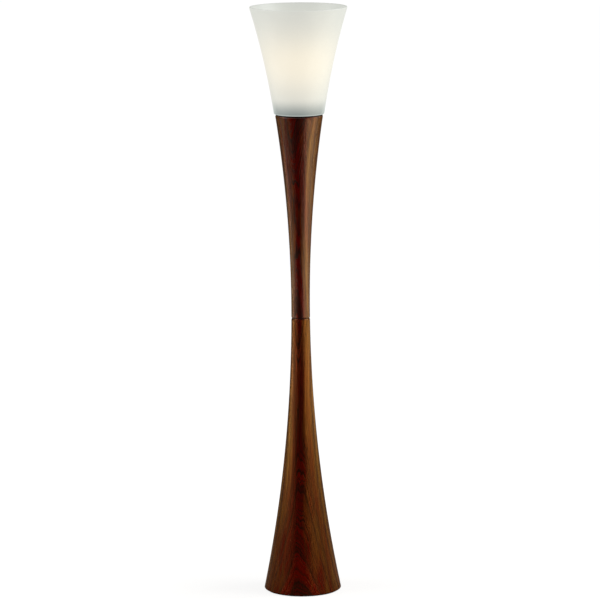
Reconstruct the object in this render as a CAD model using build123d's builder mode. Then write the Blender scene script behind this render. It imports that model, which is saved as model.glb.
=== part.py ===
from build123d import *
from math import ceil, cos, hypot, radians, sin, sqrt
import os

# Torchiere floor lamp: an hourglass column turned in two halves under a flared opal glass shade.
# The origin is the middle of the felt pad's underside, +Z is up and +Y is the back, where the
# cord inlet is. Lengths are in millimetres and angles in degrees.

os.makedirs("parts", exist_ok=True)

# Turned column
LOWER_COLUMN_HEIGHT = 691.5
UPPER_COLUMN_HEIGHT = 509.0
FOOT_RADIUS = 97.0
WAIST_RADIUS = 23.4
COLUMN_TOP_RADIUS = 59.6
SEAM_LEAN = 0.5  # slope of the outline at the seam: the narrowest point lies just above it
FOOT_EDGE = 2.5
SEAM_EDGE = 1.0
COLUMN_TOP_EDGE = 1.5

# Base cavity, its weight, cover and felt
FELT_THICKNESS = 2.5
FELT_INSET = 5.0
FOOT_WALL = 23.0  # wood left around the weight, measured at the floor
COVER_THICKNESS = 2.0
COVER_LEDGE = 11.0
COVER_GAP = 0.3
WIRING_SPACE = 29.5
WEIGHT_HEIGHT = 32.0
WEIGHT_GAP = 2.0
WEIGHT_EDGE = 2.0
COVER_SCREW_COUNT = 4
SCREW_RADIUS = 1.9
SCREW_HEAD_RADIUS = 3.8
SCREW_LENGTH = 16.0
SCREW_CROSS = 0.9  # width of the cross recess
SCREW_CROSS_DEPTH = 1.0

# Threaded lamp tube with its nuts and washers
TUBE_RADIUS = 5.0
TUBE_WALL = 1.2
TUBE_OVERRUN = 3.0  # tube showing below the bottom nut
NUT_FLATS = 17.0
NUT_HEIGHT = 5.0
NUT_BEVEL = 0.8
WASHER_RADIUS = 16.0
WASHER_THICKNESS = 2.0
LOCK_WASHER_RADIUS = 10.0
LOCK_WASHER_THICKNESS = 1.2
COUPLER_WALL = 3.0
COUPLER_LENGTH = 28.0
TUBE_END_GAP = 0.6
SEAM_NUT_RECESS = 7.0
SEAM_WASHER_THICKNESS = 1.0
SEAM_WASHER_INSET = 1.2
BUSHING_FLANGE = 1.5
BUSHING_DEPTH = 8.0

# Cord inlet at the back of the foot
INLET_RISE = 11.5  # above the base cover
INLET_BORE_RADIUS = 3.5
INLET_WALL = 2.0
INLET_FLANGE_WIDTH = 2.0
INLET_FLANGE_THICKNESS = 3.0
INLET_NUT_WIDTH = 2.5
INLET_NUT_THICKNESS = 4.0
INLET_TAIL = 3.0  # sleeve left beyond its nut

# Leads from the socket down to the crimp caps in the base
LEAD_RADIUS = 1.1
LEAD_SPREAD = 4.5
LEAD_SPREAD_RUN = 11.0  # straight run before the crimp cap
LEAD_TERMINAL_BEND = 2.4
LEAD_FOOT_BEND = 9.0
LEAD_SPREAD_BEND = 30.0
CAP_RADIUS = 3.5
CAP_LENGTH = 15.0
CAP_BORE_DEPTH = 9.0
CAP_TO_INLET = 10.0

# Shade holder and gasket
HOLDER_THICKNESS = 2.0
HOLDER_INSET = 1.4
COLLAR_WALL = 1.5
COLLAR_HEIGHT = 12.0
GASKET_THICKNESS = 1.0
GASKET_INSET = 0.6

# Glass shade
SHADE_HEIGHT = 266.0
SHADE_TOP_RADIUS = 122.0
SHADE_BOTTOM_RADIUS = 62.5
SHADE_SAG = 5.0  # how far the flared side bows in from a straight cone
SHADE_WALL = 4.5
SHADE_FLOOR = 5.0
SHADE_RIM_EDGE = 2.0
SHADE_BOTTOM_EDGE = 2.5
SHADE_HOLE_EDGE = 1.2
SHADE_INSIDE_EDGE = 5.0

# Socket for a medium screw cap
BRACKET_WIDTH = 10.0
BRACKET_THICKNESS = 2.0
BRACKET_LEG = 1.5
BRACKET_FOOT = 8.5
BRACKET_HEIGHT = 13.6
BRACKET_COLLAR_WALL = 2.5
BRACKET_COLLAR_HEIGHT = 3.0
SKIRT_RISE = 2.6  # the porcelain skirt stops this far above the bracket's underside
SOCKET_WALL = 5.5
SOCKET_FLOOR = 7.0
SOCKET_LIP = 4.0  # porcelain above the screw shell
SOCKET_EDGE = 2.0
SKIRT_WALL = 2.65
SHELL_HEIGHT = 24.0
SHELL_THICKNESS = 0.6
SHELL_GROOVE_WALL = 0.45
SHELL_HOLE_RADIUS = 8.2
CONTACT_THICKNESS = 0.8
CONTACT_WIDTH = 6.0
CONTACT_RISE = 3.0
CONTACT_RISER = 5.5  # distance of the riser from the axis
CONTACT_TONGUE = 4.0
TERMINAL_INSET = 1.97  # from the screw shell's bore to a terminal's axis
TERMINAL_RADIUS = 1.5
TERMINAL_HEAD_RADIUS = 3.0
TERMINAL_HEAD = 2.4
LIVE_TERMINAL_LENGTH = 4.0
TERMINAL_SLOT = 0.7

# Bulb with a medium screw cap
THREAD_PITCH = 3.629
THREAD_CORE_RADIUS = 12.27
THREAD_HEIGHT = 0.83
THREAD_WIDTH = 2.4
THREAD_TURNS = 3.5
THREAD_ROOT = 0.3  # how far the ridge reaches into the core
THREAD_SINK = 0.15  # how far the ridge's round crest does
THREAD_START = 7.0  # above the bulb's tip
BULB_RADIUS = 33.35
BULB_CENTRE = 101.0
BULB_GLASS = 0.9
NECK_BOTTOM = 23.2
NECK_TOP = 34.0
CAP_BOTTOM = 5.0
CAP_SHEET = 0.6
CAP_SHOULDER = 21.5
CAP_RIM_TOP = 27.0
CAP_RIM_FLARE = 1.35
CAP_HOLE_RADIUS = 8.0
INSULATOR_BOTTOM_RADIUS = 5.6
INSULATOR_INSET = 1.87
INSULATOR_PLUG = 1.5
TIP_RADIUS = 4.6
TIP_THICKNESS = 1.2
TIP_EDGE = 0.9
STUD_RADIUS = 1.9
STUD_LENGTH = 2.8
STEM_RADIUS = 3.2
STEM_FLARE_TOP = 42.0
STEM_TOP = 64.0
STEM_RIM = 1.5
SUPPORT_RADIUS = 0.6
SUPPORT_FOOT = 2.0
SUPPORT_SPREAD = 13.0
FILAMENT_RADIUS = 0.5
FILAMENT_RISE = 4.0

# Clearances
THREAD_GAP = 0.05  # between a plain-modelled thread and its nut
HOLE_GAP = 0.4  # around what passes through a hole
SEAT_GAP = 0.1  # under what is set down by hand
COLLAR_GAP = 0.5  # between the shade's hole and the locating collar
BULB_PASS_GAP = 6.65  # between the bulb and the shade's hole when the shade lifts off
SCREW_CAP_GAP = 0.2  # between the bulb's thread and the socket's
LAY_GAP = 0.3  # under what lies loose

# Heights up the lamp
lower_bottom = FELT_THICKNESS
lower_top = lower_bottom + LOWER_COLUMN_HEIGHT
upper_bottom = lower_top + SEAM_WASHER_THICKNESS
upper_top = upper_bottom + UPPER_COLUMN_HEIGHT
holder_top = upper_top + HOLDER_THICKNESS
shade_bottom = holder_top + GASKET_THICKNESS
shade_top = shade_bottom + SHADE_HEIGHT
cover_top = lower_bottom + COVER_THICKNESS
weight_bottom = cover_top + WIRING_SPACE
weight_top = weight_bottom + WEIGHT_HEIGHT
weight_washer_bottom = weight_bottom - WASHER_THICKNESS
lower_nut_bottom = weight_washer_bottom - NUT_HEIGHT
lower_tube_bottom = lower_nut_bottom - TUBE_OVERRUN
coupler_bottom = lower_top - COUPLER_LENGTH
coupler_middle = lower_top - COUPLER_LENGTH / 2
seam_nut_top = upper_bottom + SEAM_NUT_RECESS
upper_nut_bottom = holder_top + LOCK_WASHER_THICKNESS
bracket_bottom = upper_nut_bottom + NUT_HEIGHT + SEAT_GAP
bracket_top = bracket_bottom + BRACKET_THICKNESS
upper_tube_top = bracket_top + BRACKET_COLLAR_HEIGHT
floor_bottom = bracket_bottom + BRACKET_HEIGHT
floor_top = floor_bottom + SOCKET_FLOOR
skirt_bottom = bracket_bottom + SKIRT_RISE
shell_top = floor_top + SHELL_HEIGHT
socket_top = shell_top + SOCKET_LIP
contact_top = floor_top + CONTACT_RISE
bulb_tip = contact_top + SEAT_GAP
inlet_height = cover_top + INLET_RISE

# Radii that follow from the sizes above
recess_radius = FOOT_RADIUS - FOOT_WALL
cover_radius = recess_radius + COVER_LEDGE
screw_circle = recess_radius + COVER_LEDGE / 2
tube_bore = TUBE_RADIUS - TUBE_WALL
tube_hole = TUBE_RADIUS + HOLE_GAP
nut_hole = TUBE_RADIUS + THREAD_GAP
nut_recess_radius = NUT_FLATS / sqrt(3) + HOLE_GAP
coupler_radius = TUBE_RADIUS + COUPLER_WALL
holder_radius = COLUMN_TOP_RADIUS - HOLDER_INSET
shade_hole_radius = BULB_RADIUS + BULB_PASS_GAP
collar_radius = shade_hole_radius - COLLAR_GAP
shell_bore = THREAD_CORE_RADIUS + SCREW_CAP_GAP
shell_radius = shell_bore + THREAD_HEIGHT + SHELL_GROOVE_WALL
socket_bore = shell_radius + HOLE_GAP
socket_radius = socket_bore + SOCKET_WALL
cavity_radius = socket_radius - SKIRT_WALL
terminal_offset = shell_bore - TERMINAL_INSET
inlet_radius = INLET_BORE_RADIUS + INLET_WALL
inlet_flange_radius = inlet_radius + INLET_FLANGE_WIDTH
inlet_nut_radius = inlet_radius + INLET_NUT_WIDTH
lead_offset = LEAD_RADIUS + HOLE_GAP / 2
lead_terminal_height = floor_bottom - TERMINAL_HEAD - LEAD_RADIUS - SEAT_GAP
lead_foot_height = cover_top + CAP_RADIUS + LAY_GAP
inlet_nut_start = sqrt(recess_radius**2 - inlet_nut_radius**2) - INLET_NUT_THICKNESS
inlet_end = inlet_nut_start - INLET_TAIL
cap_mouth = inlet_end - CAP_TO_INLET - CAP_LENGTH
lead_end = cap_mouth + CAP_BORE_DEPTH
rim_radius = THREAD_CORE_RADIUS + CAP_RIM_FLARE
neck_radius = rim_radius - CAP_SHEET - SEAT_GAP

inlet_plane = Plane(origin=(0, 0, inlet_height), x_dir=(1, 0, 0), z_dir=(0, 1, 0))
lean_out = sin(radians(SEAM_LEAN))
lean_along = cos(radians(SEAM_LEAN))


def lower_outline_radius(height):
    """Radius of the lower half at a height: an arc that leaves the seam at the lean angle."""
    spread = FOOT_RADIUS - WAIST_RADIUS
    bow = spread * lean_along - LOWER_COLUMN_HEIGHT * lean_out
    arc = (spread**2 + LOWER_COLUMN_HEIGHT**2) / 2 / bow
    centre_height = lower_top + arc * lean_out
    return WAIST_RADIUS + arc * lean_along - sqrt(arc**2 - (height - centre_height) ** 2)


def shade_point(height, inset):
    """Point of the shade's side at a height, on arcs about one centre, inset from the outer face."""
    spread = SHADE_TOP_RADIUS - SHADE_BOTTOM_RADIUS
    chord = hypot(spread, SHADE_HEIGHT)
    arc = chord**2 / 8 / SHADE_SAG + SHADE_SAG / 2
    reach = arc - SHADE_SAG
    centre_radius = (SHADE_TOP_RADIUS + SHADE_BOTTOM_RADIUS) / 2 + reach * SHADE_HEIGHT / chord
    centre_height = shade_bottom + SHADE_HEIGHT / 2 - reach * spread / chord
    return centre_radius - sqrt((arc + inset) ** 2 - (height - centre_height) ** 2), height


def tube(bottom, top):
    """A length of threaded lamp tube between two heights."""
    with BuildPart() as piece:
        with BuildSketch(Plane.XY.offset(bottom)):
            Circle(TUBE_RADIUS)
            Circle(tube_bore, mode=Mode.SUBTRACT)
        extrude(amount=top - bottom)
    return piece


def hex_nut(bottom):
    """A hexagon nut on the lamp tube, with its corners turned off at both faces."""
    with BuildPart() as piece:
        with BuildSketch(Plane.XY.offset(bottom)):
            Circle(NUT_FLATS / sqrt(3))
        extrude(amount=NUT_HEIGHT)
        chamfer(piece.edges().filter_by(GeomType.CIRCLE), NUT_BEVEL)
        with BuildSketch(Plane.XY.offset(bottom)):
            RegularPolygon(NUT_FLATS / 2, 6, major_radius=False)
        extrude(amount=NUT_HEIGHT, mode=Mode.INTERSECT)
        with Locations((0, 0, bottom + NUT_HEIGHT)):
            Hole(nut_hole)
    return piece


def ring(bottom, inner_radius, outer_radius, height):
    """A flat ring such as a washer."""
    with BuildPart() as piece:
        with BuildSketch(Plane.XY.offset(bottom)):
            Circle(outer_radius)
            Circle(inner_radius, mode=Mode.SUBTRACT)
        extrude(amount=height)
    return piece


def thread_section(start, core_radius, width, sink):
    """Section of a rolled screw-cap thread at its start: a round crest whose foot is sunk in the core."""
    foot = core_radius - sink
    root = core_radius - THREAD_ROOT
    with BuildSketch(Plane(origin=(0, 0, start), x_dir=(1, 0, 0), z_dir=(0, -1, 0))) as section:
        with BuildLine():
            crest = ThreePointArc(
                (foot, -width / 2), (core_radius + THREAD_HEIGHT, 0), (foot, width / 2)
            )
            Polyline(crest @ 1, (root, width / 2), (root, -width / 2), crest @ 0)
        make_face()
    return section.sketch


# Lower half of the column, hollowed from below for the weight and drilled for the tube
with BuildPart() as lower_column:
    with BuildSketch(Plane.XZ):
        with BuildLine():
            side = TangentArc(
                (WAIST_RADIUS, lower_top),
                (FOOT_RADIUS, lower_bottom),
                tangent=(lean_out, -lean_along),
            )
            Polyline(side @ 1, (0, lower_bottom), (0, lower_top), side @ 0)
        make_face()
    revolve(axis=Axis.Z)
    rims = lower_column.edges().filter_by(GeomType.CIRCLE).sort_by(Axis.Z)
    fillet(rims[0], FOOT_EDGE)
    fillet(rims[-1], SEAM_EDGE)
    with BuildSketch(Plane.XY.offset(lower_bottom)):
        Circle(cover_radius + COVER_GAP)
    extrude(amount=COVER_THICKNESS, mode=Mode.SUBTRACT)
    with BuildSketch(Plane.XY.offset(lower_bottom)):
        Circle(recess_radius)
    extrude(amount=weight_top - lower_bottom, mode=Mode.SUBTRACT)
    with Locations((0, 0, lower_top)):
        CounterBoreHole(tube_hole, coupler_radius + HOLE_GAP, COUPLER_LENGTH)
    with BuildSketch(Plane.XY.offset(cover_top)):
        with PolarLocations(screw_circle, COVER_SCREW_COUNT, start_angle=45):
            Circle(SCREW_RADIUS + THREAD_GAP)
    extrude(amount=SCREW_LENGTH, mode=Mode.SUBTRACT)
    with BuildSketch(inlet_plane):
        Circle(inlet_radius + THREAD_GAP)
    extrude(amount=FOOT_RADIUS, mode=Mode.SUBTRACT)
    # Flat spot face for the inlet's flange, deep enough to seat it at the spot face's upper edge
    inlet_seat = lower_outline_radius(inlet_height + inlet_flange_radius) - INLET_FLANGE_THICKNESS
    with BuildSketch(inlet_plane.offset(inlet_seat)):
        Circle(inlet_flange_radius + HOLE_GAP)
    extrude(amount=FOOT_RADIUS - inlet_seat, mode=Mode.SUBTRACT)

# Upper half of the column, counterbored below for the seam nut
with BuildPart() as upper_column:
    with BuildSketch(Plane.XZ):
        with BuildLine():
            side = TangentArc(
                (WAIST_RADIUS, upper_bottom),
                (COLUMN_TOP_RADIUS, upper_top),
                tangent=(-lean_out, lean_along),
            )
            Polyline(side @ 1, (0, upper_top), (0, upper_bottom), side @ 0)
        make_face()
    revolve(axis=Axis.Z)
    rims = upper_column.edges().filter_by(GeomType.CIRCLE).sort_by(Axis.Z)
    fillet(rims[0], SEAM_EDGE)
    fillet(rims[-1], COLUMN_TOP_EDGE)
    with BuildSketch(Plane.XY.offset(upper_bottom)):
        Circle(tube_hole)
    extrude(amount=UPPER_COLUMN_HEIGHT, mode=Mode.SUBTRACT)
    with BuildSketch(Plane.XY.offset(upper_bottom)):
        Circle(nut_recess_radius)
    extrude(amount=SEAM_NUT_RECESS, mode=Mode.SUBTRACT)

# Tube through the column, in two lengths that meet inside the coupler at the waist
lower_tube = tube(lower_tube_bottom, coupler_middle - TUBE_END_GAP / 2)
upper_tube = tube(coupler_middle + TUBE_END_GAP / 2, upper_tube_top)
tube_coupler = ring(coupler_bottom, nut_hole, coupler_radius, COUPLER_LENGTH)
lower_nut = hex_nut(lower_nut_bottom)
seam_nut = hex_nut(seam_nut_top - NUT_HEIGHT)
upper_nut = hex_nut(upper_nut_bottom)
weight_washer = ring(weight_washer_bottom, tube_hole, WASHER_RADIUS, WASHER_THICKNESS)
lock_washer = ring(holder_top, tube_hole, LOCK_WASHER_RADIUS, LOCK_WASHER_THICKNESS)
seam_washer = ring(lower_top, tube_hole, WAIST_RADIUS - SEAM_WASHER_INSET, SEAM_WASHER_THICKNESS)

# Cast weight in the foot
with BuildPart() as base_weight:
    with BuildSketch(Plane.XY.offset(weight_bottom)):
        Circle(recess_radius - WEIGHT_GAP)
    extrude(amount=WEIGHT_HEIGHT)
    chamfer(base_weight.edges().filter_by(GeomType.CIRCLE), WEIGHT_EDGE)
    with Locations((0, 0, weight_top)):
        Hole(tube_hole)

# Cover let into the foot's underside, with countersunk screws, under a felt pad
with BuildPart() as base_cover:
    with BuildSketch(Plane.XY.offset(lower_bottom)):
        Circle(cover_radius)
    extrude(amount=COVER_THICKNESS)
    with Locations(Location((0, 0, lower_bottom), (180, 0, 0))):
        with PolarLocations(screw_circle, COVER_SCREW_COUNT, start_angle=45):
            CounterSinkHole(
                SCREW_RADIUS + THREAD_GAP,
                SCREW_HEAD_RADIUS + THREAD_GAP,
                counter_sink_angle=90,
            )

with BuildPart() as cover_screws:
    with BuildSketch(Plane.XY.offset(lower_bottom)):
        with PolarLocations(screw_circle, COVER_SCREW_COUNT, start_angle=45):
            Circle(SCREW_HEAD_RADIUS)
    extrude(amount=SCREW_HEAD_RADIUS - SCREW_RADIUS, taper=45)
    with BuildSketch(Plane.XY.offset(lower_bottom)):
        with PolarLocations(screw_circle, COVER_SCREW_COUNT, start_angle=45):
            Circle(SCREW_RADIUS)
    extrude(amount=SCREW_LENGTH)
    with BuildSketch(Plane.XY.offset(lower_bottom)):
        with PolarLocations(screw_circle, COVER_SCREW_COUNT, start_angle=45):
            Rectangle(2 * SCREW_RADIUS, SCREW_CROSS)
            Rectangle(SCREW_CROSS, 2 * SCREW_RADIUS)
    extrude(amount=SCREW_CROSS_DEPTH, mode=Mode.SUBTRACT)

with BuildPart() as base_felt:
    with BuildSketch():
        Circle(FOOT_RADIUS - FELT_INSET)
    extrude(amount=FELT_THICKNESS)

# Plastic bushing that keeps the tube's lower edge off the leads
with BuildPart() as tube_bushing:
    with BuildSketch(Plane.XY.offset(lower_tube_bottom - BUSHING_FLANGE)):
        Circle(TUBE_RADIUS)
    extrude(amount=BUSHING_FLANGE)
    with BuildSketch(Plane.XY.offset(lower_tube_bottom)):
        Circle(tube_bore - THREAD_GAP)
    extrude(amount=BUSHING_DEPTH)
    with Locations((0, 0, lower_tube_bottom + BUSHING_DEPTH)):
        Hole(lead_offset + LEAD_RADIUS + HOLE_GAP)

# Cord inlet: a flanged sleeve from the back, held by a round nut inside the cavity
with BuildPart() as cord_inlet:
    with BuildSketch(inlet_plane.offset(inlet_end)):
        Circle(inlet_radius)
    extrude(amount=inlet_seat - inlet_end)
    with BuildSketch(inlet_plane.offset(inlet_seat)):
        Circle(inlet_flange_radius)
    extrude(amount=INLET_FLANGE_THICKNESS)
    fillet(cord_inlet.edges().filter_by(GeomType.CIRCLE).sort_by(Axis.Y)[-1], INLET_FLANGE_WIDTH / 2)
    with BuildSketch(inlet_plane):
        Circle(INLET_BORE_RADIUS)
    extrude(amount=FOOT_RADIUS, mode=Mode.SUBTRACT)

with BuildPart() as inlet_nut:
    with BuildSketch(inlet_plane.offset(inlet_nut_start)):
        RegularPolygon(inlet_nut_radius, 6)
        Circle(inlet_radius + THREAD_GAP, mode=Mode.SUBTRACT)
    extrude(amount=INLET_NUT_THICKNESS)


def socket_lead(side):
    """A socket lead: under its terminal, down the tube, then spread along the base cover to its cap."""
    with BuildPart() as piece:
        with BuildLine() as route:
            FilletPolyline(
                (side * (terminal_offset + LEAD_RADIUS), 0, lead_terminal_height),
                (side * lead_offset, 0, lead_terminal_height),
                (side * lead_offset, 0, lead_foot_height),
                (side * LEAD_SPREAD, cap_mouth - LEAD_SPREAD_RUN, lead_foot_height),
                (side * LEAD_SPREAD, lead_end, lead_foot_height),
                radius=[LEAD_TERMINAL_BEND, LEAD_FOOT_BEND, LEAD_SPREAD_BEND],
            )
        with BuildSketch(Plane(origin=route.line @ 0, z_dir=route.line % 0)):
            Circle(LEAD_RADIUS)
        sweep(path=route.line)
    return piece


live_lead = socket_lead(1)
neutral_lead = socket_lead(-1)

# Closed-end crimp caps on the leads, lying on the base cover
cap_mouths = Plane(origin=(0, cap_mouth, lead_foot_height), x_dir=(1, 0, 0), z_dir=(0, 1, 0))
with BuildPart() as lead_caps:
    with BuildSketch(cap_mouths):
        with Locations((LEAD_SPREAD, 0), (-LEAD_SPREAD, 0)):
            Circle(CAP_RADIUS)
    extrude(amount=CAP_LENGTH)
    closed_ends = lead_caps.edges().filter_by(GeomType.CIRCLE).group_by(Axis.Y)[-1]
    fillet(closed_ends, CAP_RADIUS / 2)
    with BuildSketch(cap_mouths):
        with Locations((LEAD_SPREAD, 0), (-LEAD_SPREAD, 0)):
            Circle(LEAD_RADIUS + THREAD_GAP)
    extrude(amount=CAP_BORE_DEPTH + SEAT_GAP, mode=Mode.SUBTRACT)

# Steel shade holder: a disc on the column with a collar that locates the glass, and its gasket
with BuildPart() as shade_holder:
    with BuildSketch(Plane.XY.offset(upper_top)):
        Circle(holder_radius)
    extrude(amount=HOLDER_THICKNESS)
    fillet(shade_holder.edges().filter_by(GeomType.CIRCLE), HOLDER_THICKNESS / 4)
    with BuildSketch(Plane.XY.offset(holder_top)):
        Circle(collar_radius)
        Circle(collar_radius - COLLAR_WALL, mode=Mode.SUBTRACT)
    extrude(amount=COLLAR_HEIGHT)
    fillet(shade_holder.edges().filter_by(GeomType.CIRCLE).group_by(Axis.Z)[-1], COLLAR_WALL / 3)
    with Locations((0, 0, holder_top)):
        Hole(tube_hole)

shade_gasket = ring(
    holder_top,
    shade_hole_radius + GASKET_INSET,
    holder_radius - GASKET_INSET,
    GASKET_THICKNESS,
)

# Opal glass shade: flared side, a floor that rests on the gasket and a hole that clears the bulb
with BuildPart() as glass_shade:
    with BuildSketch(Plane.XZ) as wall:
        with BuildLine():
            middle = shade_bottom + SHADE_HEIGHT / 2
            inside_corner = shade_point(shade_bottom + SHADE_FLOOR, SHADE_WALL)
            outside = ThreePointArc(
                shade_point(shade_bottom, 0), shade_point(middle, 0), shade_point(shade_top, 0)
            )
            inside = ThreePointArc(
                inside_corner,
                shade_point(middle, SHADE_WALL),
                shade_point(shade_top, SHADE_WALL),
            )
            Line(outside @ 1, inside @ 1)
            Polyline(
                inside @ 0,
                (shade_hole_radius, shade_bottom + SHADE_FLOOR),
                (shade_hole_radius, shade_bottom),
                outside @ 0,
            )
        make_face()
        fillet(wall.vertices().group_by(Axis.Y)[-1], min(SHADE_RIM_EDGE, SHADE_WALL * 0.45))
        fillet(wall.vertices().group_by(Axis.Y)[0].sort_by(Axis.X)[-1], SHADE_BOTTOM_EDGE)
        fillet(wall.vertices().group_by(Axis.X)[0], SHADE_HOLE_EDGE)
        fillet(wall.vertices().sort_by_distance(inside_corner)[0], SHADE_INSIDE_EDGE)
    revolve(axis=Axis.Z)

# Steel bracket that carries the socket on the tube: a strip with a threaded collar and two legs
with BuildPart() as socket_bracket:
    leg_outside = cavity_radius - BRACKET_LEG
    with BuildSketch(Plane.XY.offset(bracket_bottom)):
        Rectangle(BRACKET_WIDTH, 2 * leg_outside)
    extrude(amount=BRACKET_THICKNESS)
    with BuildSketch(Plane.XY.offset(bracket_bottom)):
        with Locations((0, leg_outside - BRACKET_LEG / 2), (0, BRACKET_LEG / 2 - leg_outside)):
            Rectangle(BRACKET_WIDTH, BRACKET_LEG)
    extrude(amount=BRACKET_HEIGHT)
    foot_middle = leg_outside - BRACKET_FOOT / 2
    with BuildSketch(Plane.XY.offset(floor_bottom - BRACKET_LEG)):
        with Locations((0, foot_middle), (0, -foot_middle)):
            Rectangle(BRACKET_WIDTH, BRACKET_FOOT)
    extrude(amount=BRACKET_LEG)
    with BuildSketch(Plane.XY.offset(bracket_top)):
        Circle(TUBE_RADIUS + BRACKET_COLLAR_WALL)
    extrude(amount=BRACKET_COLLAR_HEIGHT)
    with BuildSketch(Plane.XY.offset(bracket_bottom)):
        Circle(nut_hole)
    extrude(amount=upper_tube_top - bracket_bottom, mode=Mode.SUBTRACT)
    bracket_screw_offset = leg_outside - BRACKET_LEG - TERMINAL_HEAD_RADIUS - HOLE_GAP
    with BuildSketch(Plane.XY.offset(floor_bottom - BRACKET_LEG)):
        with Locations((0, bracket_screw_offset), (0, -bracket_screw_offset)):
            Circle(TERMINAL_RADIUS + THREAD_GAP)
    extrude(amount=BRACKET_LEG, mode=Mode.SUBTRACT)

# Porcelain socket body: a skirt over the wiring, a floor and a cup around the screw shell
with BuildPart() as socket_body:
    with BuildSketch(Plane.XZ):
        with BuildLine():
            Polyline(
                (0, floor_bottom),
                (cavity_radius, floor_bottom),
                (cavity_radius, skirt_bottom),
                (socket_radius, skirt_bottom),
                (socket_radius, socket_top),
                (socket_bore, socket_top),
                (socket_bore, floor_top),
                (0, floor_top),
                close=True,
            )
        make_face()
    revolve(axis=Axis.Z)
    outer_rims = socket_body.edges().filter_by(GeomType.CIRCLE).group_by(SortBy.RADIUS)[-1]
    fillet(outer_rims, SOCKET_EDGE)
    riser_middle = CONTACT_RISER + CONTACT_THICKNESS / 2
    with BuildSketch(Plane.XY.offset(floor_bottom)):
        with Locations((riser_middle, 0)):
            Rectangle(CONTACT_THICKNESS + 2 * HOLE_GAP, CONTACT_WIDTH + 2 * HOLE_GAP)
    extrude(amount=SOCKET_FLOOR, mode=Mode.SUBTRACT)
    contact_end = terminal_offset + TERMINAL_HEAD_RADIUS
    with BuildSketch(Plane.XY.offset(floor_bottom)):
        with Locations(((CONTACT_RISER + contact_end) / 2, 0)):
            Rectangle(contact_end - CONTACT_RISER + 2 * HOLE_GAP, CONTACT_WIDTH + 2 * HOLE_GAP)
    extrude(amount=CONTACT_THICKNESS + SEAT_GAP, mode=Mode.SUBTRACT)
    with BuildSketch(Plane.XY.offset(floor_bottom)):
        with Locations(
            (terminal_offset, 0),
            (-terminal_offset, 0),
            (0, bracket_screw_offset),
            (0, -bracket_screw_offset),
        ):
            Circle(TERMINAL_RADIUS + THREAD_GAP)
    extrude(amount=SOCKET_FLOOR, mode=Mode.SUBTRACT)

# Brass screw shell with a helical groove for the bulb's thread
groove_start = bulb_tip + THREAD_START - THREAD_PITCH
groove_turns = ceil((shell_top - groove_start) / THREAD_PITCH) + 1
with BuildPart() as socket_shell:
    with BuildSketch(Plane.XY.offset(floor_top)):
        Circle(shell_radius)
    extrude(amount=SHELL_HEIGHT)
    with BuildSketch(Plane.XY.offset(floor_top + SHELL_THICKNESS)):
        Circle(shell_bore)
    extrude(amount=SHELL_HEIGHT - SHELL_THICKNESS, mode=Mode.SUBTRACT)
    with BuildSketch(Plane.XY.offset(floor_top)):
        Circle(SHELL_HOLE_RADIUS)
        with Locations((-terminal_offset, 0)):
            Circle(TERMINAL_RADIUS + THREAD_GAP)
    extrude(amount=SHELL_THICKNESS, mode=Mode.SUBTRACT)
    with BuildLine() as groove_path:
        Helix(THREAD_PITCH, groove_turns * THREAD_PITCH, shell_bore, center=(0, 0, groove_start))
    groove = thread_section(groove_start, shell_bore, THREAD_WIDTH + 2 * SCREW_CAP_GAP, 0)
    sweep(groove, path=groove_path.line, is_frenet=True, mode=Mode.SUBTRACT)

# Spring contact: its foot under the floor at the live terminal, a riser and a tongue under the bulb
with BuildPart() as socket_contact:
    with BuildSketch(Plane.XZ):
        with BuildLine():
            riser_far = CONTACT_RISER + CONTACT_THICKNESS
            Polyline(
                (contact_end, floor_bottom),
                (contact_end, floor_bottom + CONTACT_THICKNESS),
                (riser_far, floor_bottom + CONTACT_THICKNESS),
                (riser_far, contact_top),
                (-CONTACT_TONGUE, contact_top),
                (-CONTACT_TONGUE, contact_top - CONTACT_THICKNESS),
                (CONTACT_RISER, contact_top - CONTACT_THICKNESS),
                (CONTACT_RISER, floor_bottom),
                close=True,
            )
        make_face()
    extrude(amount=CONTACT_WIDTH / 2, both=True)
    with BuildSketch(Plane.XY.offset(floor_bottom)):
        with Locations((terminal_offset, 0)):
            Circle(TERMINAL_RADIUS + THREAD_GAP)
    extrude(amount=CONTACT_THICKNESS, mode=Mode.SUBTRACT)


def socket_screws(places, head_top, lengths):
    """Slotted round-head screws pointing up, one at each place, with their heads below head_top."""
    with BuildPart() as piece:
        for place, length in zip(places, lengths):
            with BuildSketch(Plane.XY.offset(head_top - TERMINAL_HEAD)):
                with Locations(place):
                    Circle(TERMINAL_HEAD_RADIUS)
            extrude(amount=TERMINAL_HEAD)
            with BuildSketch(Plane.XY.offset(head_top)):
                with Locations(place):
                    Circle(TERMINAL_RADIUS)
            extrude(amount=length)
        with BuildSketch(Plane.XY.offset(head_top - TERMINAL_HEAD)):
            with Locations(*places):
                Rectangle(TERMINAL_SLOT, 2 * TERMINAL_HEAD_RADIUS)
        extrude(amount=TERMINAL_HEAD / 3, mode=Mode.SUBTRACT)
    return piece


terminal_screws = socket_screws(
    [(terminal_offset, 0), (-terminal_offset, 0)],
    floor_bottom,
    [LIVE_TERMINAL_LENGTH, SOCKET_FLOOR + SHELL_THICKNESS],
)
bracket_screws = socket_screws(
    [(0, bracket_screw_offset), (0, -bracket_screw_offset)],
    floor_bottom - BRACKET_LEG,
    [BRACKET_LEG + LIVE_TERMINAL_LENGTH, BRACKET_LEG + LIVE_TERMINAL_LENGTH],
)

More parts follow.
